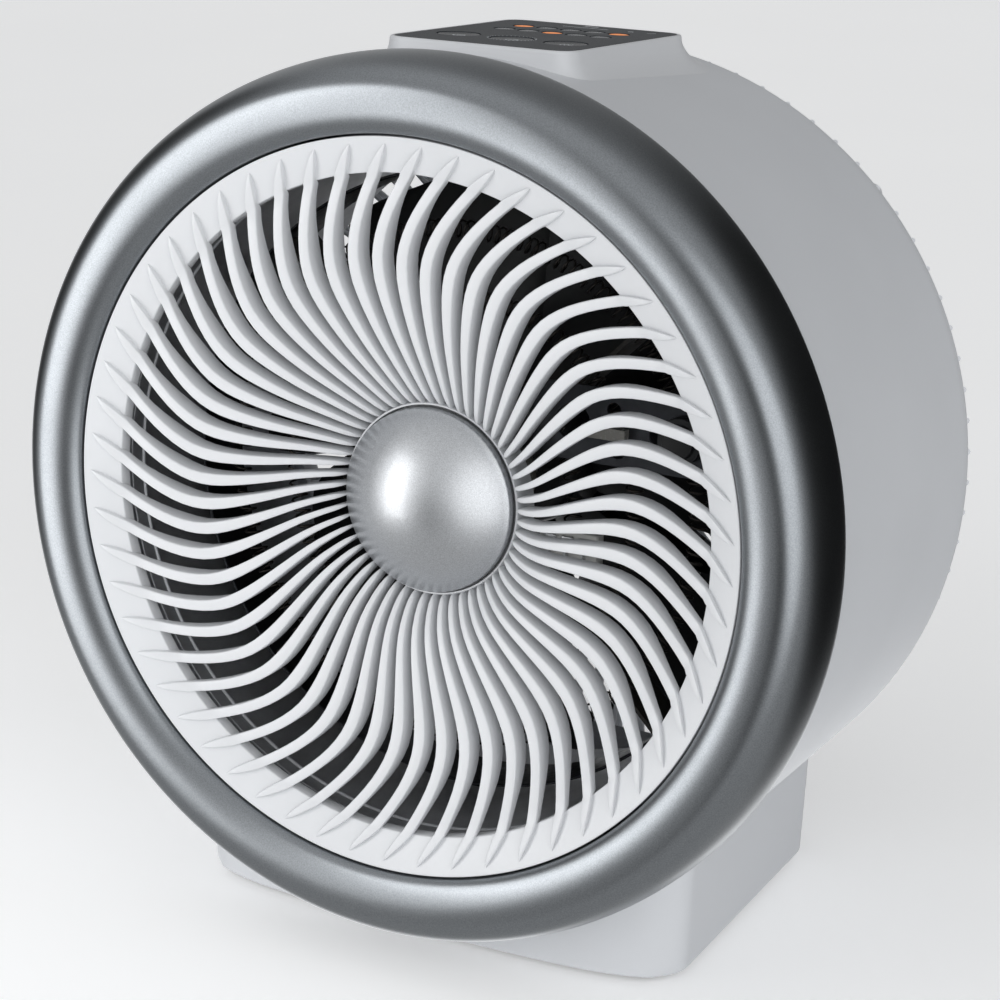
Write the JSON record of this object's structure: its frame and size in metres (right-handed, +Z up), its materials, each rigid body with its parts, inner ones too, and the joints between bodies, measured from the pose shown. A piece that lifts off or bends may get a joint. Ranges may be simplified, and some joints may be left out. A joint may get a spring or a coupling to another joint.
{
  "type": "fan convector heater",
  "caption": "Drum-shaped fan heater on a low pedestal: satin bezel, swirl outlet grille with domed hub cap, top control pod with push buttons, rear intake grille and inner fan.",
  "frame": {"origin": "on the floor, under the middle of the heater's bounding box", "axes": "+Z up; the outlet faces -Y; +X is to the right of a person who faces the outlet"},
  "size_m": [0.304, 0.197, 0.3133],
  "materials": {
    "bezel_satin_silver": "satin silver lacquer with a fine metallic grain",
    "cap_satin_silver": "satin silver, finely brushed look",
    "grille_white": "fine satin moulded white",
    "housing_white": "fine spark-eroded cool white moulding",
    "panel_grey": "dark slate satin fascia",
    "indicator_lens": "translucent smoked lens",
    "black_plastic": "black moulding",
    "fan_black": "glass-filled black moulding",
    "rubber": "soft black rubber",
    "steel": "zinc-plated steel",
    "galvanised_sheet": "galvanised sheet, dull spangle",
    "mica": "mica board, grey-brown",
    "ceramic": "glazed white ceramic",
    "resistance_wire": "oxidised resistance wire",
    "circuit_board": "green solder mask"
  },
  "bodies": {
    "housing": {"outlet_grille": "grille_white", "rear_grille": "housing_white", "front_bezel_ring": "bezel_satin_silver", "drum_shell": "housing_white", "pedestal_shell": "housing_white", "air_duct": "galvanised_sheet", "hub_cap": "cap_satin_silver", "control_panel": "panel_grey", "motor_case_front": "galvanised_sheet", "motor_case_rear": "galvanised_sheet", "element_frame": "galvanised_sheet", "indicator_lens": "indicator_lens", "control_pod": "housing_white", "limit_plate": "galvanised_sheet", "bottom_plate": "black_plastic", "motor_stator": "steel", "motor_bracket": "galvanised_sheet", "heating_coil_inner": "resistance_wire", "heating_coil_middle": "resistance_wire", "heating_coil_outer": "resistance_wire", "cord_inlet_bush": "black_plastic", "element_core": "ceramic", "motor_bearing_front": "steel", "motor_bearing_rear": "steel", "hub_cap_push_nut": "steel", "rubber_foot_1": "rubber", "rubber_foot_2": "rubber", "rubber_foot_3": "rubber", "rubber_foot_4": "rubber", "limit_thermostat": "black_plastic", "plate_screw_1": "steel", "plate_screw_2": "steel", "plate_screw_3": "steel", "plate_screw_4": "steel", "rear_grille_screw_1": "steel", "rear_grille_screw_2": "steel", "rear_grille_screw_3": "steel", "rear_grille_screw_4": "steel", "timer_switch": "black_plastic", "power_switch": "black_plastic", "mode_switch": "black_plastic", "remote_sensor_window": "indicator_lens", "control_board": "circuit_board", "mica_board_1": "mica", "mica_board_2": "mica", "mica_board_3": "mica", "mica_board_4": "mica", "thermal_fuse": "ceramic", "terminal_block": "ceramic", "tip_over_switch": "black_plastic", "power_board": "circuit_board"},
    "fan_rotor": {"fan_shaft": "steel", "fan_impeller": "fan_black", "fan_nut": "steel", "motor_rotor": "steel"},
    "timer_button": {"timer_button": "panel_grey"},
    "power_button": {"power_button": "panel_grey"},
    "mode_button": {"mode_button": "panel_grey"}
  },
  "joints": [
    {"name": "fan_spin", "type": "hinge", "parent": "housing", "child": "fan_rotor", "pos_m": [0, 0.02164, 0.15449], "axis": [0, -0.9964, 0.0847], "continuous": true},
    {"name": "timer_press", "type": "slide", "parent": "housing", "child": "timer_button", "axis": [0, -0.0847, -0.9964], "range_m": [0, 0.001], "stiffness_N_per_m": 400},
    {"name": "power_press", "type": "slide", "parent": "housing", "child": "power_button", "axis": [0, -0.0847, -0.9964], "range_m": [0, 0.001], "stiffness_N_per_m": 400},
    {"name": "mode_press", "type": "slide", "parent": "housing", "child": "mode_button", "axis": [0, -0.0847, -0.9964], "range_m": [0, 0.001], "stiffness_N_per_m": 400}
  ]
}
